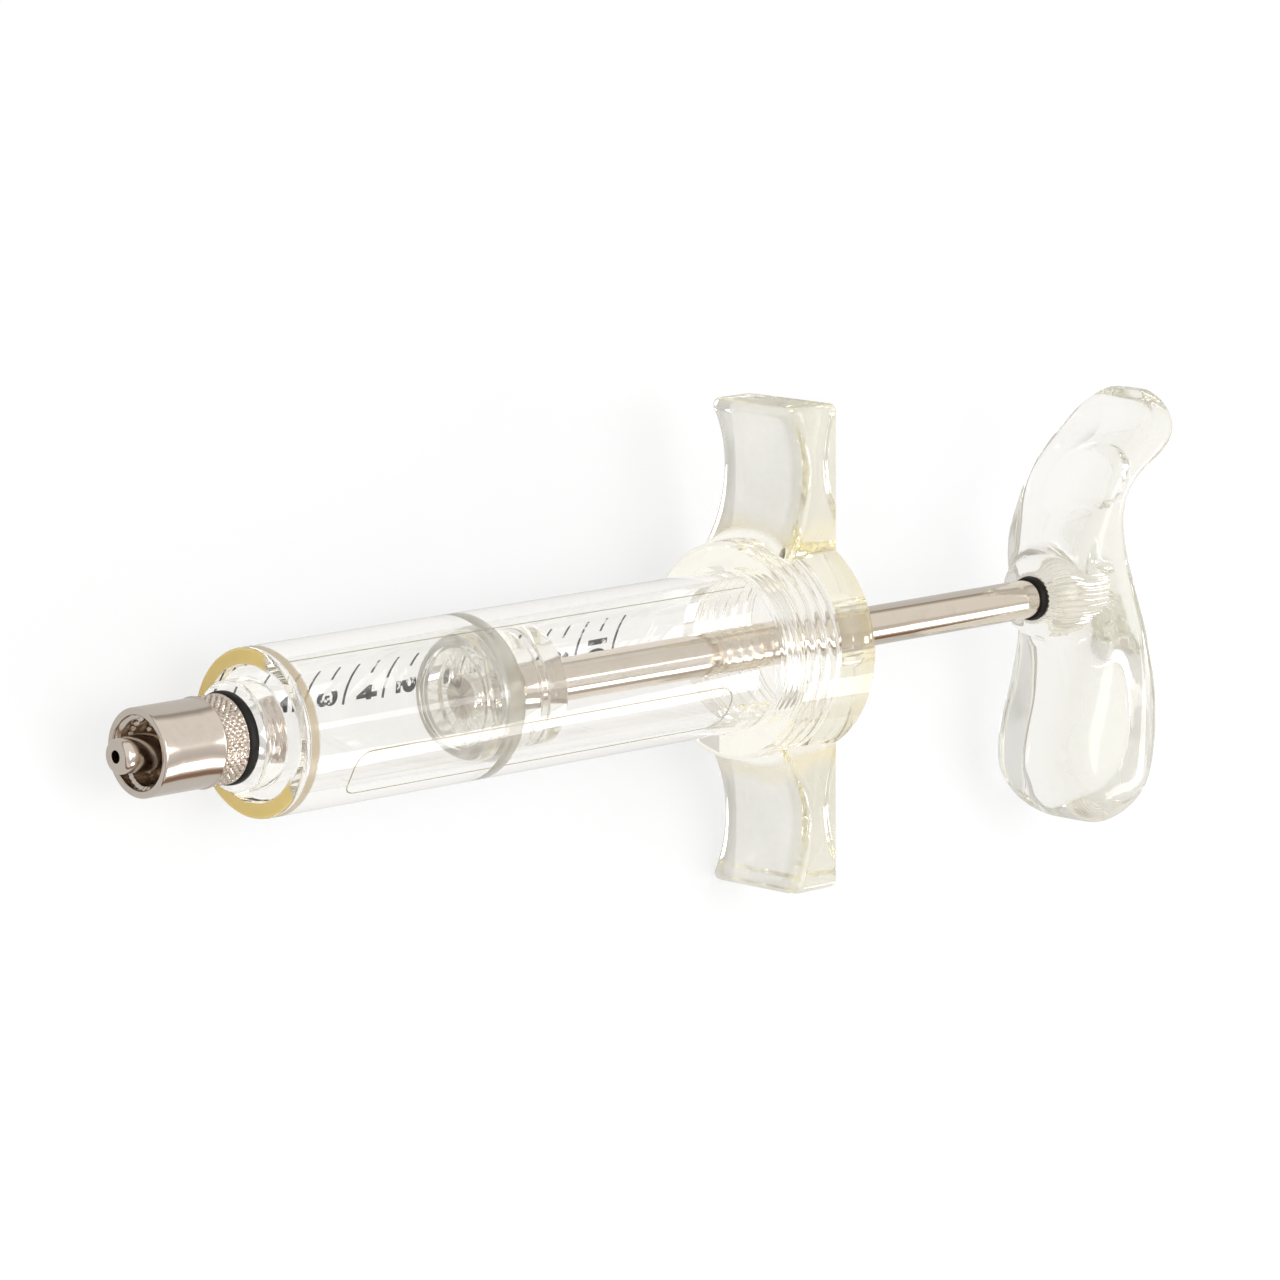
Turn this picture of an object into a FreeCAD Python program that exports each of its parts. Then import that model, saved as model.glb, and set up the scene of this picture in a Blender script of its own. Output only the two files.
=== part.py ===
import FreeCAD, Part
import math
import os
import Sketcher

# Reusable ten-millilitre syringe with a luer lock nozzle, in millimetres.
# The pieces are drawn along their common axis: X runs from the collar's rim (0)
# back to the handle, Z points along one finger wing and Y away from the scale's reader.
# At the end the whole syringe is laid on the table as it comes to rest: on the front
# edge of the barrel, the rear edge of the flange's collar and the tip of one wing.

doc = FreeCAD.newDocument("syringe")

# Driving dimensions
SIZES = {
    "lock_diameter": 10.0,
    "lock_length": 8.6,
    "lock_mouth": 8.3,
    "lock_depth": 7.5,
    "lock_rim_round": 0.35,
    "grip_diameter": 10.1,
    "grip_length": 3.2,
    "taper_tip": 3.96,
    "taper_rate": 0.06,
    "taper_reach": 3.0,
    "taper_round": 0.7,
    "channel_tip": 1.4,
    "channel_bore": 2.2,
    "channel_step": 6.0,
    "stem_diameter": 7.6,
    "nozzle_ring_width": 1.6,
    "nozzle_ring_diameter": 10.5,
    "nozzle_ring_round": 0.6,
    "nose_diameter": 12.6,
    "nose_length": 2.8,
    "barrel_diameter": 19.1,
    "barrel_length": 82.0,
    "barrel_edge": 0.25,
    "barrel_wall": 2.15,
    "bore_front_wall": 1.7,
    "thread_depth": 0.3,
    "thread_relief": 0.3,
    "running_gap": 0.05,
    "seal_gap": 0.03,
    "collar_front_wall": 3.4,
    "collar_rear_wall": 3.95,
    "collar_length": 11.3,
    "collar_mouth_flare": 0.8,
    "rear_wall": 3.0,
    "wing_span": 58.0,
    "wing_width": 14.2,
    "wing_hollow_radius": 14.0,
    "wing_hollow_inset": 8.1,
    "wing_waist": 5.2,
    "wing_edge": 0.8,
    "wing_soft_edge": 1.6,
    "collar_edge": 0.5,
    "drawn_back": 29.3,
    "piston_front_length": 1.8,
    "piston_front_round": 1.0,
    "piston_gap": 0.25,
    "seal_width": 3.0,
    "seal_round": 0.7,
    "seal_depth": 1.8,
    "piston_rear_length": 7.2,
    "piston_rear_gap": 0.9,
    "piston_waist_depth": 1.2,
    "piston_waist_width": 1.0,
    "piston_rear_disc": 3.1,
    "rod_diameter": 4.8,
    "rod_free": 40.9,
    "rod_nose": 2.0,
    "handle_ring_width": 0.8,
    "handle_ring_section": 0.6,
    "handle_ring_round": 0.2,
    "insert_wall": 0.8,
    "insert_length": 9.0,
    "insert_teeth": 32,
    "insert_tooth": 0.25,
    "hub_diameter": 11.0,
    "handle_top_width": 14.4,
    "handle_foot_width": 17.2,
    "handle_corner": 6.5,
    "handle_corner_share": 0.7,
    "handle_depth": 20.2,
    "handle_rise": 24.7,
    "handle_drop": 29.0,
    "handle_end": 0.2,
}

sheet = doc.addObject("Spreadsheet::Sheet", "Sizes")
for row, (alias, number) in enumerate(SIZES.items(), start=1):
    sheet.set(f"A{row}", alias)
    sheet.set(f"B{row}", str(number))
    sheet.setAlias(f"B{row}", alias)
doc.recompute()


class Term:
    """A size with its value in millimetres and the text that binds a feature to the sheet."""

    def __init__(self, value, text):
        self.value = value
        self.text = text

    def join(self, other, sign, value, swap=False):
        other_text = other.text if isinstance(other, Term) else repr(other)
        first, second = (other_text, self.text) if swap else (self.text, other_text)
        return Term(value, f"({first} {sign} {second})")

    def __add__(self, other):
        return self.join(other, "+", self.value + number_of(other))

    def __sub__(self, other):
        return self.join(other, "-", self.value - number_of(other))

    def __mul__(self, other):
        return self.join(other, "*", self.value * number_of(other))

    def __truediv__(self, other):
        return self.join(other, "/", self.value / number_of(other))

    def __rmul__(self, other):
        return self.join(other, "*", self.value * other, swap=True)

    def __neg__(self):
        return Term(-self.value, f"(0 - {self.text})")

    def root(self):
        return Term(math.sqrt(self.value), f"sqrt({self.text})")


def number_of(size):
    return size.value if isinstance(size, Term) else size


def smallest(*terms):
    return Term(min(term.value for term in terms), f"min({'; '.join(term.text for term in terms)})")


def largest(*terms):
    """The largest of some sizes, and never below zero."""
    return Term(max(0.0, *[term.value for term in terms]),
                f"max(0; {'; '.join(term.text for term in terms)})")


def size(alias):
    return Term(float(SIZES[alias]), f"Sizes.{alias}")


ZERO = Term(0.0, "0")


# Drawing helpers

def new_body(name):
    body = doc.addObject("PartDesign::Body", name)
    body.Label = name
    doc.recompute()
    return body


def sketch_on(body, plane, name, along=None):
    """A sketch on one of the body's own origin planes, moved along its normal by a size."""
    sketch = body.newObject("Sketcher::SketchObject", name)
    support = [item for item in body.Origin.OriginFeatures if item.Role == plane][0]
    sketch.AttachmentSupport = [(support, "")]
    sketch.MapMode = "FlatFace"
    if along is not None:
        sketch.setExpression("AttachmentOffset.Base.z", along.text)
    doc.recompute()
    return sketch


def pin_point(sketch, index, point, across, up):
    """Ties one point of the sketch to two sizes, measured from the sketch's origin."""
    for kind, term in (("DistanceX", across), ("DistanceY", up)):
        at = sketch.addConstraint(Sketcher.Constraint(kind, -1, 1, index, point, term.value))
        sketch.setExpression(f"Constraints[{at}]", term.text)


def outline(sketch, points):
    """A closed outline of straight lines through points given as pairs of sizes."""
    corners = [FreeCAD.Vector(across.value, up.value, 0) for across, up in points]
    lines = [Part.LineSegment(a, b) for a, b in zip(corners, corners[1:] + corners[:1])]
    first = sketch.addGeometry(lines, False)[0]
    count = len(points)
    for step in range(count):
        joint = Sketcher.Constraint("Coincident", first + step, 2, first + (step + 1) % count, 1)
        sketch.addConstraint(joint)
    for step, (across, up) in enumerate(points):
        pin_point(sketch, first + step, 1, across, up)


def circle(sketch, across, up, diameter):
    """A full circle whose centre and diameter are sizes."""
    centre = FreeCAD.Vector(across.value, up.value, 0)
    index = sketch.addGeometry(Part.Circle(centre, FreeCAD.Vector(0, 0, 1), diameter.value / 2), False)
    at = sketch.addConstraint(Sketcher.Constraint("Diameter", index, diameter.value))
    sketch.setExpression(f"Constraints[{at}]", diameter.text)
    pin_point(sketch, index, 3, across, up)


def rounded_box(sketch, left, right, half_height, radius):
    """A box between two stations, even about the sketch's axis, with rounded corners."""
    x0, x1, high, r = left.value, right.value, half_height.value, radius.value
    upward = FreeCAD.Vector(0, 0, 1)
    sides = [(x0 + r, -high, x1 - r, -high), (x1, r - high, x1, high - r),
             (x1 - r, high, x0 + r, high), (x0, high - r, x0, r - high)]
    centres = [(x1 - r, r - high), (x1 - r, high - r), (x0 + r, high - r), (x0 + r, r - high)]
    for ax, ay, bx, by in sides:
        sketch.addGeometry(Part.LineSegment(FreeCAD.Vector(ax, ay, 0), FreeCAD.Vector(bx, by, 0)), False)
    for corner, (cx, cy) in enumerate(centres):
        start = (corner - 1) * math.pi / 2
        round_part = Part.Circle(FreeCAD.Vector(cx, cy, 0), upward, r)
        sketch.addGeometry(Part.ArcOfCircle(round_part, start, start + math.pi / 2), False)
    for corner in range(4):
        sketch.addConstraint(Sketcher.Constraint("Tangent", corner, 2, corner + 4, 1))
        sketch.addConstraint(Sketcher.Constraint("Tangent", corner + 4, 2, (corner + 1) % 4, 1))
        sketch.addConstraint(Sketcher.Constraint("Vertical" if corner % 2 else "Horizontal", corner))
    for corner in (5, 6, 7):
        sketch.addConstraint(Sketcher.Constraint("Equal", 4, corner))
    at = sketch.addConstraint(Sketcher.Constraint("Radius", 4, r))
    sketch.setExpression(f"Constraints[{at}]", radius.text)
    for kind, side, term in (("DistanceX", 3, left), ("DistanceX", 1, right),
                             ("DistanceY", 0, -half_height), ("DistanceY", 2, half_height)):
        at = sketch.addConstraint(Sketcher.Constraint(kind, -1, 1, side, 1, term.value))
        sketch.setExpression(f"Constraints[{at}]", term.text)


def turned(body, name, points, cut=False):
    """Turns an outline of (station, radius) points round the syringe's axis."""
    sketch = sketch_on(body, "XZ_Plane", f"{name}_outline")
    outline(sketch, points)
    kind = "PartDesign::Groove" if cut else "PartDesign::Revolution"
    feature = body.newObject(kind, name)
    feature.Profile = sketch
    feature.ReferenceAxis = (sketch, ["H_Axis"])
    feature.Angle = 360
    body.Tip = feature
    doc.recompute()
    return feature


def rounded(body, name, radius, wanted):
    """Rounds the edges of the body's tip that the test picks out."""
    base = body.Tip
    edges = [f"Edge{i}" for i, edge in enumerate(base.Shape.Edges, start=1) if wanted(edge)]
    fillet = body.newObject("PartDesign::Fillet", name)
    fillet.Base = (base, edges)
    fillet.Radius = radius.value
    fillet.setExpression("Radius", radius.text)
    body.Tip = fillet
    doc.recompute()
    return fillet


def ring_edge(station, diameter):
    """A test for the circular edge about the axis at a station."""
    def wanted(edge):
        curve = edge.Curve
        if not isinstance(curve, Part.Circle) or abs(abs(curve.Axis.x) - 1) > 1e-6:
            return False
        return (abs(curve.Center.x - station.value) < 1e-4
                and abs(curve.Radius - diameter.value / 2) < 1e-4)
    return wanted


def any_edge(*tests):
    return lambda edge: any(test(edge) for test in tests)


# Stations along the axis that several pieces share
lock_end = size("lock_length")
grip_end = lock_end + size("grip_length")
nose_start = grip_end + size("nozzle_ring_width")
barrel_start = nose_start + size("nose_length")
bore_start = barrel_start + size("bore_front_wall")
barrel_end = barrel_start + size("barrel_length")
flange_end = barrel_end + size("rear_wall")
flange_start = flange_end - size("collar_length")
piston_start = bore_start + size("drawn_back") - size("piston_front_length")
seal_start = bore_start + size("drawn_back")
seal_end = seal_start + size("seal_width")
piston_end = seal_end + size("piston_rear_length")
hub_start = flange_end + size("rod_free") + size("handle_ring_width")
ring_start = hub_start - size("handle_ring_width")
insert_end = hub_start + size("insert_length")
rod_start = piston_start + size("rod_nose")

# Diameters that several pieces share
bore_diameter = size("barrel_diameter") - 2 * size("barrel_wall")
thread_diameter = size("barrel_diameter") - 2 * size("thread_depth")
collar_front_diameter = size("barrel_diameter") + 2 * size("collar_front_wall")
collar_rear_diameter = size("barrel_diameter") + 2 * size("collar_rear_wall")
seat_diameter = bore_diameter - 2 * size("seal_depth")
insert_diameter = size("rod_diameter") + 2 * size("insert_wall")


# Nozzle: collar, knurled grip, taper and threaded stem turned from one bar
def make_luer_lock():
    body = new_body("luer_lock")
    tip = -size("taper_reach")
    floor = size("lock_depth")
    tip_radius = size("taper_tip") / 2
    root_radius = tip_radius + (size("lock_depth") + size("taper_reach")) * size("taper_rate") / 2
    step = size("channel_step") - size("taper_reach")
    turned(body, "turned_nozzle", [
        (tip, size("channel_tip") / 2),
        (tip, tip_radius),
        (floor, root_radius),
        (floor, size("lock_mouth") / 2),
        (ZERO, size("lock_mouth") / 2),
        (ZERO, size("lock_diameter") / 2),
        (lock_end, size("lock_diameter") / 2),
        (lock_end, size("grip_diameter") / 2),
        (grip_end, size("grip_diameter") / 2),
        (grip_end, size("stem_diameter") / 2),
        (bore_start, size("stem_diameter") / 2),
        (bore_start, size("channel_bore") / 2),
        (step, size("channel_bore") / 2),
        (step, size("channel_tip") / 2),
    ])
    rounded(body, "tip_round", size("taper_round"), ring_edge(tip, size("taper_tip")))
    rim = any_edge(ring_edge(ZERO, size("lock_mouth")), ring_edge(ZERO, size("lock_diameter")))
    rounded(body, "rim_round", size("lock_rim_round"), rim)
    return body


# Rings of rubber and silicone, each a rounded band
def make_band(name, start, end, inner, outer, rounding):
    body = new_body(name)
    turned(body, f"{name}_band", [
        (start, inner / 2), (start, outer / 2), (end, outer / 2), (end, inner / 2)])
    rounded(body, f"{name}_round", rounding, any_edge(ring_edge(start, outer), ring_edge(end, outer)))
    return body


# Barrel: a clear moulded tube, closed in front by a wall and a short nose. Its end, which
# screws into the flange's collar, has the thread's mean diameter.
def make_barrel():
    body = new_body("barrel")
    stem_hole = size("stem_diameter") / 2 + size("running_gap")
    outer = size("barrel_diameter") / 2
    thread_start = flange_start - size("thread_relief")
    turned(body, "moulded_tube", [
        (nose_start, stem_hole),
        (nose_start, size("nose_diameter") / 2),
        (barrel_start, size("nose_diameter") / 2),
        (barrel_start, outer),
        (thread_start, outer),
        (thread_start, thread_diameter / 2),
        (barrel_end, thread_diameter / 2),
        (barrel_end, bore_diameter / 2),
        (bore_start, bore_diameter / 2),
        (bore_start, stem_hole),
    ])
    edges = any_edge(
        ring_edge(nose_start, size("nose_diameter")),
        ring_edge(barrel_start, size("barrel_diameter")),
        ring_edge(barrel_end, thread_diameter),
    )
    rounded(body, "moulded_edges", size("barrel_edge"), edges)
    return body


# Flange: two finger wings hollowed in front, a collar that takes the barrel's end, a closed back
def make_finger_flange():
    body = new_body("finger_flange")
    plate = sketch_on(body, "XZ_Plane", "wing_plate")
    half_span = size("wing_span") / 2
    outline(plate, [
        (flange_start, -half_span), (flange_end, -half_span),
        (flange_end, half_span), (flange_start, half_span)])
    pad = body.newObject("PartDesign::Pad", "wings")
    pad.Profile = plate
    pad.Midplane = True
    pad.setExpression("Length", size("wing_width").text)
    body.Tip = pad
    doc.recompute()

    hollows = sketch_on(body, "XZ_Plane", "finger_hollows")
    centre = flange_end - size("wing_waist") - size("wing_hollow_radius")
    hollow = half_span - size("wing_hollow_inset")
    for side in (hollow, -hollow):
        circle(hollows, centre, side, 2 * size("wing_hollow_radius"))
    pocket = body.newObject("PartDesign::Pocket", "finger_hollows_cut")
    pocket.Profile = hollows
    pocket.Midplane = True
    pocket.setExpression("Length", (2 * size("wing_width")).text)
    body.Tip = pocket
    doc.recompute()

    rounded(body, "hollow_edges", size("wing_soft_edge"), lambda edge: isinstance(edge.Curve, Part.Circle))
    rounded(body, "wing_edges", size("wing_edge"), tip_edge)

    turned(body, "collar", [
        (flange_start, ZERO),
        (flange_start, collar_front_diameter / 2 - size("collar_edge")),
        (flange_start + size("collar_edge"), collar_front_diameter / 2),
        (flange_end, collar_rear_diameter / 2),
        (flange_end, ZERO)])
    seat = thread_diameter / 2 + size("running_gap")
    rod_hole = size("rod_diameter") / 2 + size("running_gap")
    turned(body, "barrel_seat", [
        (flange_start, ZERO),
        (flange_start, seat + size("collar_mouth_flare")),
        (flange_start + size("collar_mouth_flare"), seat),
        (barrel_end, seat),
        (barrel_end, rod_hole),
        (flange_end, rod_hole),
        (flange_end, ZERO)], cut=True)
    return body


def tip_edge(edge):
    """The edges round each wing's end face, from where the hollow's rounding stops."""
    reach = size("wing_span").value / 2
    return abs(abs(edge.CenterOfMass.z) - reach) < 1e-4


# Piston: a clear front cap, the seal's seat and a clear body behind it
def make_piston_front():
    body = new_body("piston_front")
    land = bore_diameter / 2 - size("piston_gap")
    turned(body, "cap", [
        (piston_start, ZERO),
        (piston_start, land),
        (seal_start, land),
        (seal_start, seat_diameter / 2),
        (seal_end, seat_diameter / 2),
        (seal_end, size("rod_diameter") / 2),
        (rod_start, size("rod_diameter") / 2),
        (rod_start, ZERO)])
    rounded(body, "cap_round", size("piston_front_round"), ring_edge(piston_start, 2 * land))
    return body


def make_piston_rear():
    body = new_body("piston_rear")
    disc_start = piston_end - size("piston_rear_disc")
    waist_start = disc_start - size("piston_waist_width")
    outer = bore_diameter / 2 - size("piston_rear_gap")
    waist = outer - size("piston_waist_depth")
    turned(body, "follower", [
        (seal_end, size("rod_diameter") / 2),
        (seal_end, outer),
        (waist_start, outer),
        (waist_start, waist),
        (disc_start, waist),
        (disc_start, outer),
        (piston_end, outer),
        (piston_end, size("rod_diameter") / 2)])
    return body


# Rod: polished bar from the piston's cap into the handle's insert
def make_plunger_rod():
    body = new_body("plunger_rod")
    turned(body, "bar", [
        (rod_start, ZERO), (rod_start, size("rod_diameter") / 2),
        (insert_end, size("rod_diameter") / 2), (insert_end, ZERO)])
    return body


# Insert: straight-knurled sleeve that the handle is moulded round
def make_handle_insert():
    body = new_body("handle_insert")
    turned(body, "sleeve", [
        (hub_start, size("rod_diameter") / 2), (hub_start, insert_diameter / 2),
        (insert_end, insert_diameter / 2), (insert_end, size("rod_diameter") / 2)])
    notch = sketch_on(body, "YZ_Plane", "knurl_notch", hub_start)
    rim = insert_diameter / 2
    half = size("insert_tooth")
    outline(notch, [
        (ZERO, rim - size("insert_tooth")), (half, rim + half), (-half, rim + half)])
    groove = body.newObject("PartDesign::Pocket", "knurl_groove")
    groove.Profile = notch
    groove.Reversed = True
    groove.setExpression("Length", size("insert_length").text)
    body.Tip = groove
    doc.recompute()
    knurl = body.newObject("PartDesign::PolarPattern", "knurl")
    knurl.Originals = [groove]
    axis = [item for item in body.Origin.OriginFeatures if item.Role == "X_Axis"][0]
    knurl.Axis = (axis, [""])
    knurl.Angle = 360
    knurl.setExpression("Occurrences", "Sizes.insert_teeth")
    body.Tip = knurl
    doc.recompute()
    return body


# Handle: S-shaped palm grip, lofted through level sections with full corners. A section is
# (height, front, back), with front and back measured behind the hub's face. They are drawn for
# the rise, drop and depth given below them and follow the handle's own sizes.
HANDLE_SECTIONS = [
    (24.5, 17.1, 18.7), (23.0, 15.3, 19.7), (20.0, 11.8, 20.2), (17.5, 8.8, 18.4), (14.5, 6.2, 12.8),
    (11.0, 4.3, 10.5), (6.5, 2.2, 11.0), (0.5, 2.3, 13.1), (-5.0, 4.0, 15.0), (-11.0, 2.6, 16.8),
    (-17.0, 0.4, 17.3), (-21.5, 0.3, 16.5), (-25.0, 2.4, 14.6), (-27.5, 5.0, 12.0), (-28.8, 7.4, 9.6),
]
SECTION_RISE = 24.5
SECTION_DROP = 28.8
SECTION_DEPTH = 20.2


def handle_half_width(level):
    """Half the handle's width at a height: a straight taper with rounded ends."""
    rise, drop = size("handle_rise"), size("handle_drop")
    top, foot = size("handle_top_width") / 2, size("handle_foot_width") / 2
    plain = foot + (top - foot) * ((level + drop) / (rise + drop))
    corner = size("handle_corner")
    inset = largest(level - (rise - corner), -level - (drop - corner))
    return plain - corner + (corner * corner - inset * inset).root()


def make_handle():
    body = new_body("handle")
    depth = size("handle_depth") / SECTION_DEPTH
    rise = (size("handle_rise") - size("handle_end")) / SECTION_RISE
    drop = (size("handle_drop") - size("handle_end")) / SECTION_DROP
    sections = []
    for number, (height, front, back) in enumerate(HANDLE_SECTIONS, start=1):
        level = height * (rise if height > 0 else drop)
        half_width = handle_half_width(level)
        nearest = smallest(half_width, (back - front) / 2 * depth)
        sketch = sketch_on(body, "XY_Plane", f"grip_section_{number}", level)
        rounded_box(sketch, hub_start + front * depth, hub_start + back * depth, half_width,
                    nearest * size("handle_corner_share"))
        sections.append(sketch)
    grip = body.newObject("PartDesign::AdditiveLoft", "grip")
    grip.Profile = sections[0]
    grip.Sections = sections[1:]
    body.Tip = grip
    doc.recompute()

    turned(body, "hub", [
        (hub_start, ZERO), (hub_start, size("hub_diameter") / 2),
        (insert_end, size("hub_diameter") / 2), (insert_end, ZERO)])
    turned(body, "insert_bore", [
        (hub_start, ZERO), (hub_start, insert_diameter / 2),
        (insert_end, insert_diameter / 2), (insert_end, ZERO)], cut=True)
    return body


bodies = [
    make_luer_lock(),
    make_band("nozzle_ring", grip_end + size("seal_gap"), nose_start - size("seal_gap"),
              size("stem_diameter") + 2 * size("seal_gap"), size("nozzle_ring_diameter"),
              size("nozzle_ring_round")),
    make_barrel(),
    make_finger_flange(),
    make_piston_front(),
    make_band("piston_seal", seal_start + size("seal_gap"), seal_end - size("seal_gap"),
              seat_diameter + 2 * size("seal_gap"), bore_diameter - 2 * size("seal_gap"),
              size("seal_round")),
    make_piston_rear(),
    make_plunger_rod(),
    make_band("handle_ring", ring_start, hub_start, size("rod_diameter"),
              size("rod_diameter") + 2 * size("handle_ring_section"), size("handle_ring_round")),
    make_handle_insert(),
    make_handle(),
]

# The syringe as it lies: nose down until the barrel's and the collar's edges touch the
# table, rolled about its axis until one wing tip touches too.
reach = barrel_start.value - flange_end.value
nose_down = math.atan(-size("collar_rear_wall").value / reach)
tip_z = size("wing_span").value / 2 - size("wing_edge").value
tip_y = size("wing_width").value / 2 - size("wing_edge").value
tip_x = flange_end.value - size("wing_waist").value
axis_height = (size("barrel_diameter").value / 2
               + (tip_x - barrel_start.value) * math.tan(nose_down) - size("wing_edge").value)
rolled = math.atan2(tip_z, tip_y) - math.acos(axis_height / math.hypot(tip_z, tip_y))

about_x = FreeCAD.Rotation(FreeCAD.Vector(1, 0, 0), math.degrees(rolled) - 90)
about_y = FreeCAD.Rotation(FreeCAD.Vector(0, 1, 0), -math.degrees(nose_down))
lie = about_y.multiply(about_x)
for body in bodies:
    body.Placement = FreeCAD.Placement(FreeCAD.Vector(), lie)
doc.recompute()

box = FreeCAD.BoundBox()
for body in bodies:
    box.add(body.Shape.optimalBoundingBox(False))
shift = FreeCAD.Vector(-box.Center.x, -box.Center.y, -box.ZMin)
for body in bodies:
    body.Placement = FreeCAD.Placement(shift, lie)
doc.recompute()

for item in doc.Objects:
    if "Invalid" in item.State or "Error" in item.State:
        raise RuntimeError(f"{item.Label} did not build: {item.State}")
for body in bodies:
    if body.Shape.isNull() or not body.Shape.isValid() or len(body.Shape.Solids) != 1:
        raise RuntimeError(f"{body.Label} is not one sound solid")

os.makedirs("parts", exist_ok=True)
for body in bodies:
    body.Shape.exportStep(f"parts/{body.Label}.step")
    print(f"{body.Label}: {body.Shape.Volume:.1f} mm3")
print("rolled", round(math.degrees(rolled), 3), "nose down", round(math.degrees(nose_down), 3))
print("shift", shift)
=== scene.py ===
# Reusable ten millilitre syringe with a luer lock nozzle, dressed round its CAD frame.
# Meshes are drawn in the syringe's own millimetres: x runs from the collar's rim back to the
# handle, z along one finger wing, and y away from whoever reads the scale.
import math

import bmesh
import bpy
from mathutils import Matrix, Vector


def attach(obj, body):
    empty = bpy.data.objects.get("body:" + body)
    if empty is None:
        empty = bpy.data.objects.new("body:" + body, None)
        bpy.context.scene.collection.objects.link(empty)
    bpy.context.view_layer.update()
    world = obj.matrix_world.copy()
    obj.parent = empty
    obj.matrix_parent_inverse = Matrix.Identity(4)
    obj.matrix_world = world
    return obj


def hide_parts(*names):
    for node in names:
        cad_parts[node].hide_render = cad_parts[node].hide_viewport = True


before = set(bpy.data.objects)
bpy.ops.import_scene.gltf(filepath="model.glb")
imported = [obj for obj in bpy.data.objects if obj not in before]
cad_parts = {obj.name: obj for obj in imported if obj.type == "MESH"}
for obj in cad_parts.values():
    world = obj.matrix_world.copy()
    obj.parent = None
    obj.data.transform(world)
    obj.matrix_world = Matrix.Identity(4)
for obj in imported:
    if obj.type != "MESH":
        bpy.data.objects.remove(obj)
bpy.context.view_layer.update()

lying = {
    "noseDown": 2.661,  # degrees, about the table's y
    "rolled": 12.948,  # degrees from wings upright to the resting wing tip
    "shift": (-79.95162, 0.0, 8.79889),  # millimetres
}
turn = (Matrix.Rotation(math.radians(-lying["noseDown"]), 4, "Y")
        @ Matrix.Rotation(math.radians(lying["rolled"] - 90), 4, "X"))
lay = Matrix.Translation(Vector(lying["shift"]) / 1000) @ turn  # syringe metres to the row frame


# Camera, fitted to the outlines of the barrel, flange and handle

lookout = {
    "stand": (-443.512, -535.585, 131.294),  # millimetres, in the syringe's frame
    "right": (0.71722, -0.69683, -0.00519),
    "up": (0.12171, 0.11792, 0.98554),
    "lens": 183.55,
}


def setUpCamera():
    data = bpy.data.cameras.new("studioCamera")
    data.lens = lookout["lens"]
    data.sensor_width = 36.0
    data.clip_start = 0.05
    data.clip_end = 20.0
    camera = bpy.data.objects.new("studioCamera", data)
    bpy.context.scene.collection.objects.link(camera)
    right = Vector(lookout["right"]).normalized()
    up = Vector(lookout["up"])
    up = (up - right * up.dot(right)).normalized()
    axes = Matrix((right, up, right.cross(up))).transposed().to_4x4()
    camera.matrix_world = lay @ Matrix.Translation(Vector(lookout["stand"]) / 1000) @ axes
    bpy.context.scene.camera = camera


# Finishes: shader maths is written as expressions on sockets

class Wire:
    def __init__(self, finish, socket):
        self.finish = finish
        self.socket = socket

    def maths(self, operation, *others, clamp=False):
        settings = {"operation": operation, "use_clamp": clamp}
        return self.finish.node("ShaderNodeMath", settings, [self, *others])

    def __add__(self, other):
        return self.maths("ADD", other)

    def __sub__(self, other):
        return self.maths("SUBTRACT", other)

    def __mul__(self, other):
        return self.maths("MULTIPLY", other)

    def __truediv__(self, other):
        return self.maths("DIVIDE", other)

    def __pow__(self, other):
        return self.maths("POWER", other)

    def __neg__(self):
        return self.maths("MULTIPLY", -1.0)

    def __rsub__(self, other):
        return self.maths("MULTIPLY_ADD", -1.0, other)

    __radd__ = __add__
    __rmul__ = __mul__

    def clamped(self):
        return self.maths("ADD", 0.0, clamp=True)


class Finish:
    def __init__(self, tree):
        self.tree = tree
        tree.nodes.clear()

    # settings are set first, then sockets are given by place in a list or by name
    def node(self, kind, settings=None, sockets=None, output=0):
        node = self.tree.nodes.new(kind)
        for key, value in (settings or {}).items():
            if key == "stops":
                ramp = node.color_ramp
                while len(ramp.elements) < len(value):
                    ramp.elements.new(0.5)
                for element, (place, colour) in zip(ramp.elements, value):
                    element.position = place
                    element.color = colour
            else:
                setattr(node, key, value)
        pairs = sockets.items() if isinstance(sockets, dict) else enumerate(sockets or [])
        for key, value in pairs:
            if isinstance(value, Wire):
                self.tree.links.new(value.socket, node.inputs[key])
            else:
                node.inputs[key].default_value = value
        return Wire(self, node.outputs[output]) if node.outputs else None

    def step(self, wire, low, high):  # smooth 0 to 1 as the value goes from low to high
        settings = {"interpolation_type": "SMOOTHSTEP"}
        return self.node("ShaderNodeMapRange", settings, [wire, low, high, 0.0, 1.0])

    def mixed(self, factor, first, second):  # two colours
        settings = {"data_type": "RGBA"}
        return self.node("ShaderNodeMix", settings, {0: factor, 6: first, 7: second}, 2)

    def noise(self, scale, detail=3.0, rough=0.5, stretch=(1.0, 1.0, 1.0)):
        settings = {"operation": "MULTIPLY"}
        stretched = self.node("ShaderNodeVectorMath", settings, [self.place, stretch])
        sockets = {"Vector": stretched, "Scale": scale, "Detail": detail, "Roughness": rough}
        return self.node("ShaderNodeTexNoise", None, sockets)

    def axes(self):  # x, y and z in syringe metres, and the distance from its axis
        x, y, z = [self.node("ShaderNodeSeparateXYZ", None, [self.place], k) for k in range(3)]
        return x, y, z, (y ** 2 + z ** 2) ** 0.5

    def bump(self, height, strength, distance):
        sockets = {"Height": height, "Strength": strength, "Distance": distance}
        return self.node("ShaderNodeBump", None, sockets)


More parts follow.
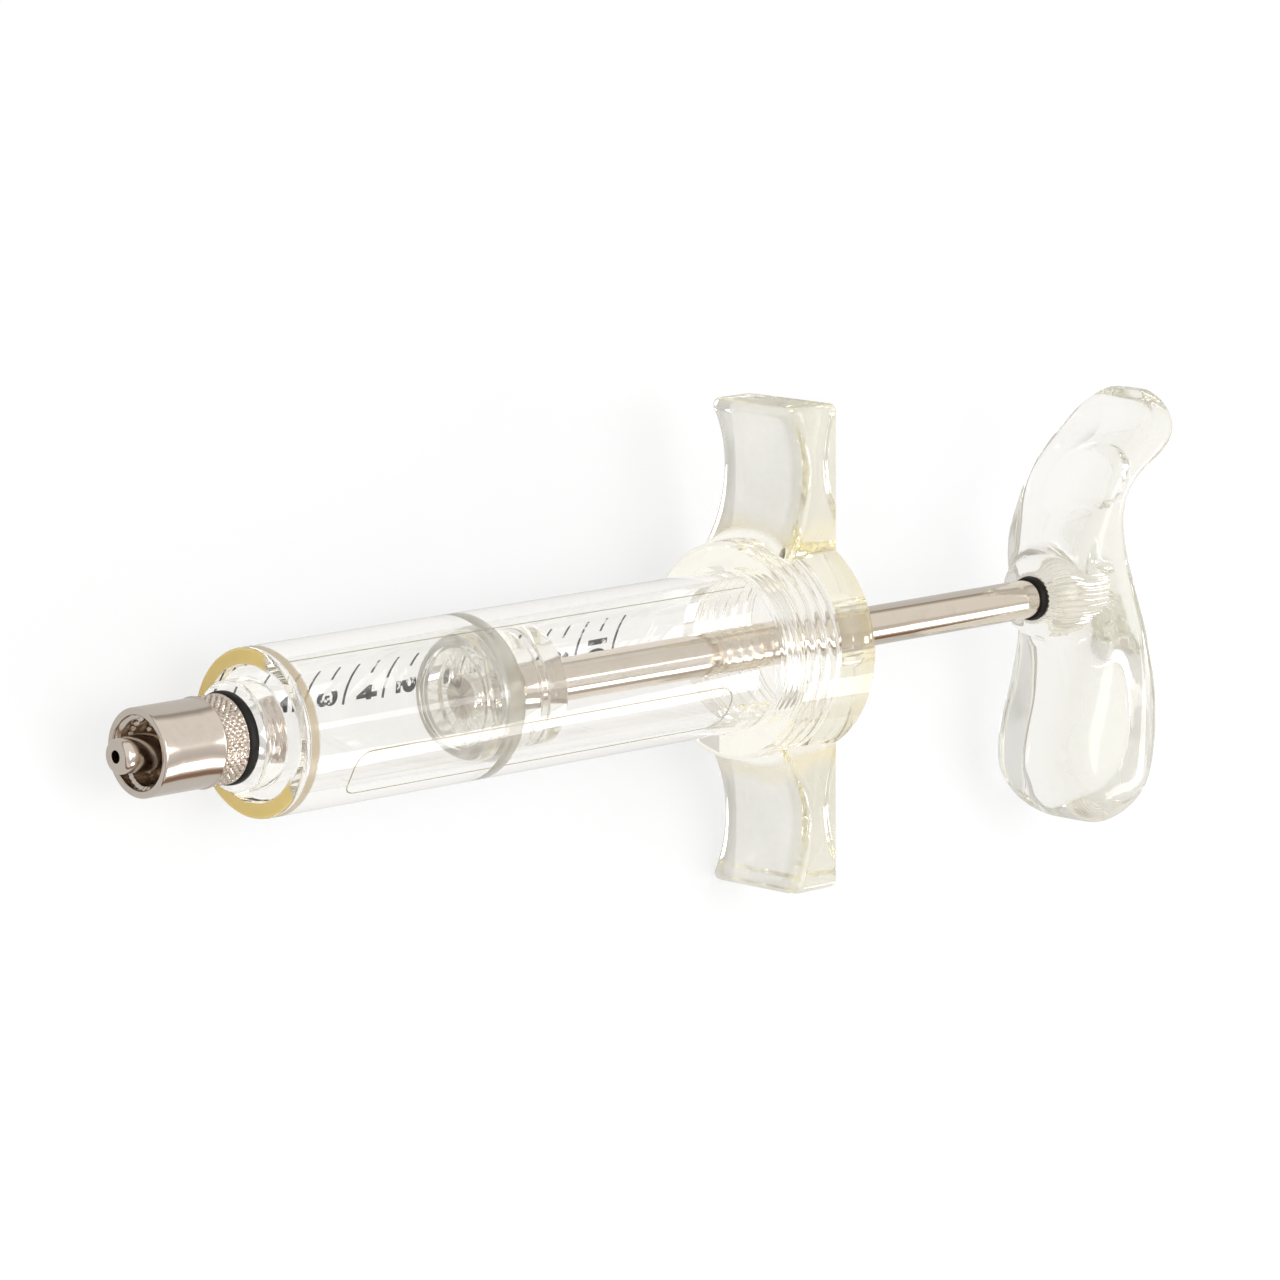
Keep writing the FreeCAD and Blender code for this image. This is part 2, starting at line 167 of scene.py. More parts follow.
def newFinish(name):
    material = bpy.data.materials.new(name)
    material.use_nodes = True
    finish = Finish(material.node_tree)
    finish.material = material
    laid = finish.node("ShaderNodeTexCoord", None, None, "Object")
    back = lay.inverted()  # so that finish.place is in syringe metres
    sockets = [laid, back.translation, back.to_euler()]
    finish.place = finish.node("ShaderNodeMapping", {"vector_type": "POINT"}, sockets)
    return finish


def close(finish, surface, volume=None):
    sockets = {"Surface": surface}
    if volume is not None:
        sockets["Volume"] = volume
    finish.node("ShaderNodeOutputMaterial", None, sockets)
    return finish.material


clearPlastics = {
    # name: roughness, absorption colour, absorption per metre, waviness in metres, haze, haze colour
    # barrelClear's haze and haze colour paint a gold glow on the wall's front face, standing in for light
    # run down the wall
    "barrelClear": (0.0, (1.0, 0.95, 0.8), 14.0, 0.000003, 0.97, (1.0, 0.76, 0.27)),
    "flangeClear": (0.02, (1.0, 0.95, 0.66), 16.0, 0.000006, 0.6, (0.86, 0.86, 0.79)),
    "handleClear": (0.0, (0.6, 0.6, 0.46), 10.0, 0.000002, 0.42, (0.94, 0.93, 0.82)),
    "pistonClear": (0.02, (0.95, 0.93, 0.78), 28.0, 0.000006, 0.14, (0.98, 0.95, 0.84)),
    "sealSilicone": (0.22, (0.98, 0.93, 0.72), 24.0, 0.000004, 0.7, (1.0, 0.94, 0.76)),
}
plasticIor = 1.49
plasticWave = {"scale": 130.0, "detail": 2.0, "rough": 0.4, "stretch": (0.35, 1.0, 1.0)}
chalkShare = 0.75  # the rest of the haze lets light through

# Each pair is where a share starts and where it is full, in metres from or along the axis

flangeHaze = {
    "wings": (0.0135, 0.0145),
    "back": (0.0985, 0.1),
    "backShare": 0.5,
    "least": 0.06,
    # the wing side faces and tips get a painted darker, yellower shade
    "shadedSidesSquared": (0.000018, 0.00003),  # y times y, so that both side faces count
    "shadedTips": (0.0275, 0.0285),
    "paintedSideShade": (0.56, 0.54, 0.42, 1.0),
    # painted yellow glow round the collar, standing in for light carried far inside the plastic
    "paintedGlowEnds": (0.0165, 0.0195),
    "paintedGlowUneven": 0.004,
    "paintedGlowColour": (0.78, 0.64, 0.29, 1.0),
}


def hazeAndPaintedLightOnFlange(finish, cloud, haze, colour):  # haze thick on the wings; a painted yellow glow round the collar and painted shade on the wing sides and tips
    f = flangeHaze
    x, y, z, reach = finish.axes()
    spread = finish.step(reach, *f["wings"]) + finish.step(x, *f["back"]) * f["backShare"] + f["least"]
    # painted shade: the side faces and wing tips coloured darker and yellower
    side = (finish.step(y ** 2, *f["shadedSidesSquared"]) + finish.step(reach, *f["shadedTips"])).clamped()
    # painted yellow glow near the collar's root, where light runs far inside the plastic
    paintedGlow = 1 - finish.step(reach + cloud * f["paintedGlowUneven"], *f["paintedGlowEnds"])
    colour = finish.mixed(side, colour, f["paintedSideShade"])
    colour = finish.mixed(paintedGlow, colour, f["paintedGlowColour"])
    return (cloud * 0.5 + 0.5) * haze * spread.clamped(), colour


handleHaze = {"readersSide": (0.001, 0.007), "least": 0.15}


def hazeOnHandle(finish, cloud, haze, colour):  # thick on the side towards the reader
    h = handleHaze
    away = finish.axes()[1]
    spread = finish.step(-away, *h["readersSide"]) * (1 - h["least"]) + h["least"]
    return (cloud * 0.5 + 0.5) * haze * spread, colour


# Painted light on the barrel's front: a gold glow on the wall's face and an amber reflection on its edge
barrelPaintedGlow = {
    "wall": (0.0076, 0.0079),
    "wallFace": (0.0163, 0.0165),
    "bare": (0.0046, 0.0058),  # the ring stays clear towards the reader: no gold glow is painted there
    "bareSlant": 0.3,
    "edgeStart": (0.0167, 0.0169),
    "edgeEnd": (0.0178, 0.0182),
    "edge": (0.0091, 0.0093),
    "edgeShare": 0.8,
    # painted amber reflection along the front edge
    "paintedEdgeReflection": (0.5, 0.4, 0.24, 1.0),
}


def paintedGlowOnBarrel(finish, cloud, haze, colour):  # painted light: a gold glow on the wall's front face for light run down the yellowish wall, and a painted amber reflection on its edge
    b = barrelPaintedGlow
    x, y, z, reach = finish.axes()
    wall = finish.step(reach, *b["wall"]) * (1 - finish.step(x, *b["wallFace"]))
    wall = wall * (1 - finish.step(z * b["bareSlant"] - y, *b["bare"]))
    edge = finish.step(x, *b["edgeStart"]) * (1 - finish.step(x, *b["edgeEnd"]))
    edge = edge * finish.step(reach, *b["edge"])
    colour = finish.mixed(wall, b["paintedEdgeReflection"], colour)
    return (wall + edge * b["edgeShare"]).clamped() * haze, colour


def evenHaze(finish, cloud, haze, colour):
    return (cloud * 0.5 + 0.5) * haze, colour


hazes = {"flangeClear": hazeAndPaintedLightOnFlange, "handleClear": hazeOnHandle, "barrelClear": paintedGlowOnBarrel}


def clearPlastic(name):
    rough, tint, density, wave, haze, hazeColour = clearPlastics[name]
    hazeColour = (*hazeColour, 1.0)
    finish = newFinish(name)
    smudge = finish.step(finish.noise(scale=180.0, detail=5.0, rough=0.6), 0.52, 0.75)
    normal = finish.bump(finish.noise(**plasticWave), 1.0, wave)
    glass = finish.node("ShaderNodeBsdfPrincipled", None, {
        "Base Color": (1.0, 1.0, 1.0, 1.0),
        "Roughness": smudge * 0.02 + rough,
        "IOR": plasticIor,
        "Transmission Weight": 1.0,
        "Normal": normal,
    })
    cloud = finish.step(finish.noise(scale=90.0), 0.3, 0.8)
    amount, colour = hazes.get(name, evenHaze)(finish, cloud, haze, hazeColour)
    inside = finish.node("ShaderNodeNewGeometry", None, None, "Backfacing")
    amount = amount * (1 - inside)  # the haze lies on the outside
    milk = finish.node("ShaderNodeBsdfTranslucent", None, {"Color": hazeColour})
    chalk = finish.node("ShaderNodeBsdfPrincipled", None, {
        "Base Color": colour, "Roughness": 0.3, "IOR": plasticIor, "Normal": normal})
    cloudy = finish.node("ShaderNodeMixShader", None, [chalkShare, milk, chalk])
    surface = finish.node("ShaderNodeMixShader", None, [amount, glass, cloudy])
    volume = finish.node("ShaderNodeVolumeAbsorption", None, {
        "Color": (*tint, 1.0), "Density": density})
    return close(finish, surface, volume)


metals = {
    # name: colour, worn colour, roughness, turning marks per metre, depth of the marks
    "platedNozzle": ((0.72, 0.65, 0.58), (0.58, 0.51, 0.44), 0.13, 5200.0, 0.0000008),
    "polishedRod": ((0.74, 0.67, 0.58), (0.6, 0.53, 0.44), 0.09, 3800.0, 0.0000007),
    "knurledInsert": ((0.97, 0.94, 0.88), (0.85, 0.77, 0.6), 0.08, 4200.0, 0.000001),
}


def metal(name):
    colour, worn, rough, marks, depth = metals[name]
    finish = newFinish(name)
    stain = finish.step(finish.noise(scale=260.0, detail=5.0, rough=0.65), 0.5, 0.8)
    turning = finish.noise(scale=marks, detail=2.0, stretch=(1.0, 0.02, 0.02))
    lines = finish.noise(scale=900.0, detail=2.0, stretch=(0.06, 1.0, 1.0))
    scratch = finish.step(lines, 0.62, 0.72)
    base = finish.mixed(stain * 0.45, (*colour, 1.0), (*worn, 1.0))
    surface = finish.node("ShaderNodeBsdfPrincipled", None, {
        "Base Color": base,
        "Metallic": 1.0,
        "Roughness": stain * 0.08 + scratch * 0.06 + rough,
        "Normal": finish.bump(turning + scratch * -0.5, 1.0, depth),
    })
    return close(finish, surface)


softs = {
    # name: colour, second colour, roughness, share seen through, share worn away
    "blackRubber": ((0.006, 0.005, 0.004), (0.02, 0.017, 0.014), 0.42, 0.0, 0.0),
    "scaleInk": ((0.05, 0.055, 0.06), (0.16, 0.17, 0.18), 0.6, 0.0, 0.9),
    "mouldLine": ((0.86, 0.78, 0.55), (0.8, 0.7, 0.46), 0.4, 0.35, 0.0),
}


def soft(name):
    colour, second, rough, through, worn = softs[name]
    finish = newFinish(name)
    cloud = finish.step(finish.noise(scale=320.0, detail=4.0, rough=0.6), 0.35, 0.7)
    grain = finish.noise(scale=6000.0, detail=2.0)
    base = finish.mixed(cloud, (*colour, 1.0), (*second, 1.0))
    surface = finish.node("ShaderNodeBsdfPrincipled", None, {
        "Base Color": base,
        "Roughness": cloud * 0.12 + rough,
        "Specular IOR Level": 0.25,
        "Normal": finish.bump(grain, 0.4, 0.00002),
    })
    if through > 0:
        glow = finish.node("ShaderNodeBsdfTranslucent", None, {"Color": base})
        surface = finish.node("ShaderNodeMixShader", None, [through, surface, glow])
    if worn > 0:
        bare = finish.node("ShaderNodeBsdfTransparent")
        gone = finish.step(finish.noise(scale=700.0, detail=4.0, rough=0.65), 0.56, 0.6) * worn
        surface = finish.node("ShaderNodeMixShader", None, [gone, surface, bare])
    return close(finish, surface)


finishes = {name: clearPlastic(name) for name in clearPlastics}
finishes.update({name: metal(name) for name in metals})
finishes.update({name: soft(name) for name in softs})
print("finishes ready")


# Turned forms. A profile is a list of (x, radius, rounding, row spacing) corners, the last two
# optional; it runs round a closed section, or from the axis to the axis.

def softened(profile, closed, bends=6):
    corners = [tuple(corner) + (0.0, 0.0)[len(corner) - 2:] for corner in profile]
    rows = []
    count = len(corners)
    for i, (x, radius, rounding, spacing) in enumerate(corners):
        here = Vector((x, radius))
        isEnd = not closed and i in (0, count - 1)
        following = Vector(corners[(i + 1) % count][:2])
        if rounding <= 0 or isEnd:
            arc = [here]
        else:
            into = (Vector(corners[i - 1][:2]) - here).normalized()
            out = (following - here).normalized()
            half = into.angle(out) / 2
            reach = rounding / math.tan(half)
            centre = here + (into + out).normalized() * rounding / math.sin(half)
            first, last = here + into * reach - centre, here + out * reach - centre
            sweep = first.angle(last)
            arc = []
            for step in range(bends + 1):
                part = step / bends
                share = (math.sin((1 - part) * sweep) * first + math.sin(part * sweep) * last)
                arc.append(centre + share / math.sin(sweep))
        rows += [(point.x, point.y) for point in arc]
        if spacing > 0 and (closed or i < count - 1):
            nextRounding = corners[(i + 1) % count][2]
            run = following - arc[-1]
            pieces = max(1, int((run.length - nextRounding) / spacing))
            end = arc[-1] + run * (1 - nextRounding / run.length)
            rows += [tuple(arc[-1].lerp(end, k / pieces)) for k in range(1, pieces)]
    return rows


def newPiece(name, vertices, faces, finish, sharp=35.0):
    mesh = bpy.data.meshes.new(name)
    mesh.from_pydata([tuple(v / 1000 for v in vertex) for vertex in vertices], [], faces)
    work = bmesh.new()
    work.from_mesh(mesh)
    bmesh.ops.remove_doubles(work, verts=work.verts, dist=1e-7)
    bmesh.ops.recalc_face_normals(work, faces=work.faces)
    work.to_mesh(mesh)
    work.free()
    return finishPiece(name, mesh, finish, sharp)


def finishPiece(name, mesh, finish, sharp=35.0):
    mesh.transform(lay)
    mesh.shade_smooth()
    mesh.set_sharp_from_angle(angle=math.radians(sharp))
    piece = bpy.data.objects.new(name, mesh)
    bpy.context.scene.collection.objects.link(piece)
    mesh.materials.append(finishes[finish])
    return piece


def turned(name, profile, finish, segments=128, relief=None, closed=True, sharp=35.0):
    vertices = []
    rings = []
    for x, radius in softened(profile, closed):
        if radius < 1e-6:
            rings.append([len(vertices)] * segments)
            vertices.append((x, 0.0, 0.0))
            continue
        rings.append(range(len(vertices), len(vertices) + segments))
        for k in range(segments):
            angle = 2 * math.pi * k / segments
            out = radius + (relief(x, radius, angle) if relief else 0.0)
            vertices.append((x, out * math.cos(angle), out * math.sin(angle)))
    faces = []
    pairs = list(zip(rings, rings[1:] + rings[:1]) if closed else zip(rings, rings[1:]))
    for first, second in pairs:
        for k in range(segments):
            m = (k + 1) % segments
            face = [first[k], first[m], second[m], second[k]]
            face = list(dict.fromkeys(face))
            if len(face) > 2:
                faces.append(face)
    return newPiece(name, vertices, faces, finish, sharp)


def fade(x, start, end, length):  # 0 outside start to end, rising over a length inside it
    return max(0.0, min(1.0, (x - start) / length, (end - x) / length))


def thread(x, angle, pitch, starts=1, fullness=1.6):  # -1 in the root, 1 on the crest
    phase = x / pitch - starts * angle / (2 * math.pi)
    return max(-1.0, min(1.0, fullness * math.cos(2 * math.pi * phase)))


# Nozzle

nozzle = {
    "rim": 5.0, "mouth": 4.15, "floor": 7.5, "end": 8.6,
    "gripEnd": 11.8, "grip": 5.05, "knurls": 36, "knurlDepth": 0.3, "knurlLead": 0.85,
    "tip": -3.0, "tipRadius": 1.98, "root": 2.295, "hole": 0.7, "channel": 1.1, "channelEnd": 3.0,
    "stem": 3.8, "stemEnd": 17.9, "stemPitch": 1.0,
    "stemThreadStart": 13.2, "stemDepth": 0.16, "stemInset": 0.17,
    "lockStart": 0.35, "lockPitch": 2.5, "lockStarts": 2, "lockFullness": 2.2, "lockDepth": 0.42,
    "near": 0.02,  # how close a radius has to be to count as one of these
}
knurl = {"valley": -0.35, "lower": 0.1, "height": 1.3, "runOut": 0.2}
nozzleRing = (11.83, 13.37, 3.83, 5.25, 0.6)  # front, back, hole radius, outer radius, rounding


def nozzleRelief(x, radius, angle):
    n = nozzle
    if radius > n["grip"] - n["near"] and n["end"] < x < n["gripEnd"]:
        turns = n["knurls"] * angle
        slope = 2 * math.pi * (x - n["end"]) / n["knurlLead"]
        groove = -min(math.cos(turns + slope), math.cos(turns - slope)) - knurl["lower"]
        depth = (max(knurl["valley"], groove) - knurl["valley"]) / knurl["height"]
        return -n["knurlDepth"] * fade(x, n["end"], n["gripEnd"], knurl["runOut"]) * depth
    if abs(radius - n["mouth"]) < n["near"] and n["lockStart"] < x < n["floor"]:
        wave = thread(x, angle, n["lockPitch"], n["lockStarts"], n["lockFullness"])
        crest = max(0.0, wave - 0.25) / 0.75
        return -n["lockDepth"] * crest * fade(x, n["lockStart"], n["floor"], 0.3)
    if abs(radius - n["stem"]) < n["near"] and x > n["stemThreadStart"]:
        return n["stemDepth"] * thread(x, angle, n["stemPitch"]) - n["stemInset"]
    return 0.0


def makeNozzle():
    n = nozzle
    piece = turned("luerLockNozzle", [
        (n["tip"], n["hole"], 0.12), (n["tip"], n["tipRadius"], 0.7, 0.6),
        (n["floor"], n["root"], 0.2), (n["floor"], n["mouth"], 0.0, 0.14),
        (0.0, n["mouth"], 0.28), (0.0, n["rim"], 0.3, 2.0),
        (n["end"], n["rim"], 0.15), (n["end"], n["grip"], 0.0, 0.08),
        (n["gripEnd"], n["grip"], 0.0), (n["gripEnd"], n["stem"], 0.0, 0.1),
        (n["stemEnd"], n["stem"], 0.3), (n["stemEnd"], n["channel"], 0.1),
        (n["channelEnd"], n["channel"]), (n["channelEnd"], n["hole"], 0.0)],
        "platedNozzle", 320, nozzleRelief)
    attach(piece, "nozzle")
    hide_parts("luer_lock")

    front, back, hole, outer, rounding = nozzleRing
    ring = turned("nozzleRing", [
        (front, hole), (front, outer, rounding), (back, outer, rounding), (back, hole)],
        "blackRubber", 96)
    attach(ring, "nozzle_washer")
    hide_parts("nozzle_ring")


# Barrel with its scale

barrel = {
    "nose": 13.4, "front": 16.2, "noseRadius": 6.3, "outer": 9.55, "bore": 7.4,
    "edge": 0.45, "boreStart": 17.9, "stemHole": 3.85, "threadStart": 89.6, "threadMean": 9.16,
    "end": 98.2, "pitch": 1.75, "threadDepth": 0.12, "runOut": 0.9,
    "near": 0.02,  # how close a radius has to be to count as the thread's
}


def barrelRelief(x, radius, angle):
    b = barrel
    if abs(radius - b["threadMean"]) < b["near"]:
        depth = b["threadDepth"] * fade(x, b["threadStart"], b["end"], b["runOut"])
        return depth * thread(x, angle, b["pitch"])
    return 0.0


def makeBarrel():
    b = barrel
    piece = turned("barrelTube", [
        (b["nose"], b["stemHole"], 0.05), (b["nose"], b["noseRadius"], 0.45),
        (b["front"], b["noseRadius"], 0.15), (b["front"], b["outer"], b["edge"]),
        (b["threadStart"], b["outer"], 0.1), (b["threadStart"], b["threadMean"], 0.0, 0.14),
        (b["end"], b["threadMean"], 0.2), (b["end"], b["bore"], 0.1),
        (b["boreStart"], b["bore"], 0.25), (b["boreStart"], b["stemHole"], 0.05)],
        "barrelClear", 192, barrelRelief)
    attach(piece, "housing")
    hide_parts("barrel")


# Strokes and digits lie a hair inside the barrel's surface, so they look printed on it

scale = {
    "zero": 19.55, "millilitre": 5.77, "count": 10, "radius": 9.535, "thick": 0.03,
    # strokes run between two angles in degrees and lean by millimetres per degree
    "long": (-3.0, 35.0), "short": (22.0, 35.5), "width": 0.34, "lean": 0.024, "upright": 16.0,
    "digitHeight": 3.0, "digitWidth": 2.1, "digitShift": -2.8, "digitAngle": 4.0, "boldness": 0.05,
    "pairWidth": 1.7,  # of two digits, in widths of one
    "widest": 1.25,  # most that a digit is drawn out past its usual width
}


def onBarrel(x, angle, radius):
    turn = math.radians(angle)
    return (x, radius * math.cos(turn), radius * math.sin(turn))


def strip(path, width, radius, thick):  # a thin band along (x, degrees) points on the barrel
    vertices = []
    faces = []
    for i, (x, angle) in enumerate(path):
        before, after = path[max(i - 1, 0)], path[min(i + 1, len(path) - 1)]
        along = Vector((after[0] - before[0], math.radians(after[1] - before[1]) * radius))
        side = Vector((-along.y, along.x)).normalized() * width / 2
        for s, r in ((1, radius), (-1, radius), (-1, radius - thick), (1, radius - thick)):
            vertices.append(onBarrel(x + s * side.x, angle + math.degrees(s * side.y / radius), r))
        if i:
            a, b = 4 * (i - 1), 4 * i
            faces += [[a + k, a + (k + 1) % 4, b + (k + 1) % 4, b + k] for k in range(4)]
    faces += [[0, 1, 2, 3], [len(vertices) - k for k in (1, 2, 3, 4)]]
    return vertices, faces


def gathered(parts):
    vertices = []
    faces = []
    for someVertices, someFaces in parts:
        base = len(vertices)
        vertices += someVertices
        faces += [[base + k for k in face] for face in someFaces]
    return vertices, faces


def digitMesh(text, x, angle):
    s = scale
    curve = bpy.data.curves.new("digit", "FONT")
    curve.body = text
    curve.offset = s["boldness"]
    curve.resolution_u = 4
    holder = bpy.data.objects.new("digit", curve)
    bpy.context.scene.collection.objects.link(holder)
    bpy.context.view_layer.update()
    mesh = bpy.data.meshes.new_from_object(holder)
    work = bmesh.new()
    work.from_mesh(mesh)
    bmesh.ops.remove_doubles(work, verts=work.verts, dist=1e-4)
    low = [min(vertex.co[k] for vertex in work.verts) for k in range(2)]
    high = [max(vertex.co[k] for vertex in work.verts) for k in range(2)]
    solid = bmesh.ops.extrude_face_region(work, geom=work.faces[:])
    raised = [item for item in solid["geom"] if isinstance(item, bmesh.types.BMVert)]
    bmesh.ops.translate(work, verts=raised, vec=(0, 0, s["thick"]))
    width = s["digitWidth"] * (1.0 if len(text) == 1 else s["pairWidth"])
    usual = (high[0] - low[0]) / (high[1] - low[1]) * s["digitHeight"]
    width = min(width, usual * s["widest"])
    vertices = []
    for vertex in work.verts:
        across = ((vertex.co.x - low[0]) / (high[0] - low[0]) - 0.5) * width
        up = ((vertex.co.y - low[1]) / (high[1] - low[1]) - 0.5) * s["digitHeight"]
        turn = angle - math.degrees(across / s["radius"])
        vertices.append(onBarrel(x - up, turn, s["radius"] - vertex.co.z))
    faces = [[corner.index for corner in face.verts] for face in work.faces]
    work.free()
    bpy.data.objects.remove(holder)
    bpy.data.curves.remove(curve)
    bpy.data.meshes.remove(mesh)
    return vertices, faces


def makeScale():
    s = scale
    parts = []
    for half in range(0, 2 * s["count"] + 1):
        x = s["zero"] + half * s["millilitre"] / 2
        low, high = s["short"] if half % 2 else s["long"]
        angles = [low + (high - low) * k / 8 for k in range(9)]
        path = [(x + s["lean"] * (angle - s["upright"]), angle) for angle in angles]
        parts.append(strip(path, s["width"], s["radius"], s["thick"]))
        if half and half % 2 == 0:
            parts.append(digitMesh(str(half // 2), x + s["digitShift"], s["digitAngle"]))
    piece = newPiece("printedScale", *gathered(parts), "scaleInk")
    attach(piece, "housing")


panel = {
    "start": 23.6, "end": 82.2, "low": 192.0, "high": 228.0, "corner": 2.2,
    "width": 0.16, "radius": 9.54, "thick": 0.03,
    "partingAngle": 119.0, "partingWidth": 0.12,
    "partingRows": (36, 178),  # half a millimetre apart
}


def makePanel():
    p = panel
    r = p["radius"]
    corner = p["corner"]
    turnCorner = math.degrees(corner / r)
    start, end = p["start"] + corner, p["end"] - corner
    low, high = p["low"] + turnCorner, p["high"] - turnCorner
    path = []
    for cx, ca, first in ((end, high, 0), (start, high, 90), (start, low, 180), (end, low, 270)):
        for k in range(7):
            a = math.radians(first + 15 * k)
            path.append((cx + corner * math.cos(a), ca + math.degrees(corner * math.sin(a) / r)))
    path.append(path[0])
    dense = []
    for (x0, a0), (x1, a1) in zip(path, path[1:]):
        pieces = max(1, int(math.hypot(x1 - x0, math.radians(a1 - a0) * r)))
        dense += [(x0 + (x1 - x0) * k / pieces, a0 + (a1 - a0) * k / pieces) for k in range(pieces)]
    dense.append(path[0])
    parting = [(row / 2, p["partingAngle"]) for row in range(*p["partingRows"])]
    lines = [strip(dense, p["width"], r, p["thick"]), strip(parting, p["partingWidth"], r, p["thick"])]
    piece = newPiece("mouldLines", *gathered(lines), "mouldLine")
    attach(piece, "housing")


# Flange: the CAD solid's form, with the thread cut in the seat that the barrel screws into

flange = {
    "seat": 9.3, "seatStart": 90.7, "seatEnd": 98.2, "pitch": 1.75, "depth": 0.12, "rows": 58,
    "opened": 0.14, "runOut": 0.5, "near": 0.02,
}


def cutSeatThread(mesh):
    f = flange
    work = bmesh.new()
    work.from_mesh(mesh)

    def onSeat(vertex):
        x, radius = vertex.co.x * 1000, math.hypot(*vertex.co.yz) * 1000
        isAlong = f["seatStart"] - f["near"] < x < f["seatEnd"] + f["near"]
        return isAlong and abs(radius - f["seat"]) < f["near"]

    seat = [face for face in work.faces if all(onSeat(vertex) for vertex in face.verts)]
    parts = seat + list({item for face in seat for item in (*face.edges, *face.verts)})
    for k in range(1, f["rows"]):
        x = f["seatStart"] + (f["seatEnd"] - f["seatStart"]) * k / f["rows"]
        cut = bmesh.ops.bisect_plane(work, geom=parts, plane_co=(x / 1000, 0, 0), plane_no=(1, 0, 0))
        parts = cut["geom"]
    for vertex in work.verts:
        if onSeat(vertex):
            x, y, z = (value * 1000 for value in vertex.co)
            share = fade(x, f["seatStart"], f["seatEnd"], f["runOut"])
            wave = f["depth"] * thread(x, math.atan2(z, y), f["pitch"])
            out = f["seat"] + share * (f["opened"] + wave)
            vertex.co.y, vertex.co.z = (value / 1000 * out / f["seat"] for value in (y, z))
    work.to_mesh(mesh)
    work.free()


def makeFlange():
    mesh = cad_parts["finger_flange"].data.copy()
    mesh.transform(lay.inverted())
    mesh.materials.clear()
    cutSeatThread(mesh)
    piece = finishPiece("fingerFlange", mesh, "flangeClear", 30.0)
    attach(piece, "housing")
    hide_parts("finger_flange")


# Plunger: cap, seal, follower, rod, ring, insert and handle

piston = {
    "front": 45.4, "cap": 7.15, "ridge": 5.5, "seat": 47.2, "seatEnd": 50.2, "seatRadius": 5.6,
    "dish": 45.52, "dishRadius": 5.25, "groove": 45.8, "grooveRadius": 5.85, "sealGap": 0.03,
    "sealRadius": 7.42, "rearEnd": 57.4, "rear": 6.5, "waist": 5.3, "waistStart": 53.3, "discStart": 54.3,
    "rod": 2.4, "rodStart": 47.4,
}


def makePiston():
    p = piston
    cap = turned("pistonCap", [
        (p["dish"], 0.0), (p["dish"], p["dishRadius"], 0.1), (p["groove"], p["ridge"], 0.1),
        (p["front"], p["grooveRadius"], 0.15), (p["front"], p["cap"], 1.0), (p["seat"], p["cap"], 0.1),
        (p["seat"], p["seatRadius"]), (p["seatEnd"], p["seatRadius"]),
        (p["seatEnd"], p["rod"]), (p["rodStart"], p["rod"]), (p["rodStart"], 0.0)],
        "pistonClear", 128, closed=False)
    sealFront, sealBack = p["seat"] + p["sealGap"], p["seatEnd"] - p["sealGap"]
    sealHole = p["seatRadius"] + p["sealGap"]
    seal = turned("pistonSeal", [
        (sealFront, sealHole), (sealFront, p["sealRadius"], 0.6),
        (sealBack, p["sealRadius"], 0.6), (sealBack, sealHole)],
        "sealSilicone", 128)
    follower = turned("pistonFollower", [
        (p["seatEnd"], p["rod"]), (p["seatEnd"], p["rear"], 0.3),
        (p["waistStart"], p["rear"], 0.3), (p["waistStart"], p["waist"], 0.2),
        (p["discStart"], p["waist"], 0.2), (p["discStart"], p["rear"], 0.3),
        (p["rearEnd"], p["rear"], 0.4), (p["rearEnd"], p["rod"])],
        "pistonClear", 128)
    for piece, body, node, slot in (
            (cap, "plunger", "piston_front", "piston_plastic"),
            (seal, "seal", "piston_seal", "seal_silicone"),
            (follower, "plunger", "piston_rear", "piston_plastic")):
        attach(piece, body)
        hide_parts(node)


handle = {
    "ringStart": 142.25, "hub": 142.9, "insertEnd": 151.9, "ringFront": 2.62, "ring": 2.78,
    "insert": 3.2, "teeth": 32, "tooth": 0.22,
    "recess": 0.02,  # how far the ring's and the insert's faces lie before the hub's
    "rodGap": 0.01,
}

grip = {
    # height, then front and back behind the hub's face
    "sections": [
        (24.5, 17.1, 18.7), (23.0, 15.3, 19.7), (20.0, 11.8, 20.2), (17.5, 8.8, 18.4), (14.5, 6.2, 12.8),
        (11.0, 4.3, 10.5), (6.5, 2.2, 11.0), (0.5, 2.3, 13.1), (-5.0, 4.0, 15.0), (-11.0, 2.6, 16.8),
        (-17.0, 0.4, 17.3), (-21.5, 0.3, 16.5), (-25.0, 2.4, 14.6), (-27.5, 5.0, 12.0), (-28.8, 7.4, 9.6)],
    "topWidth": 14.4, "footWidth": 17.2, "corner": 6.5, "end": 0.2,
    "squareness": 3.4, "hubRadius": 5.5, "hubBlend": 1.9, "rowSpacing": 0.5, "segments": 96,
    "dome": 0.15, "domeTurns": (88, 60, 30),  # height of the rounding at each end, and its rings
}


def smoothly(points, level):  # a smooth curve through (level, value) points with falling levels
    count = len(points)
    i = next((k for k in range(count - 2) if points[k + 1][0] <= level), count - 2)
    slopes = []
    for k in (i, i + 1):
        before, after = points[max(k - 1, 0)], points[min(k + 1, count - 1)]
        slopes.append((after[1] - before[1]) / (after[0] - before[0]))
    (l0, v0), (l1, v1) = points[i], points[i + 1]
    run = l1 - l0
    t = (level - l0) / run
    return ((2 * t ** 3 - 3 * t ** 2 + 1) * v0 + (t ** 3 - 2 * t ** 2 + t) * run * slopes[0]
            + (3 * t ** 2 - 2 * t ** 3) * v1 + (t ** 3 - t ** 2) * run * slopes[1])


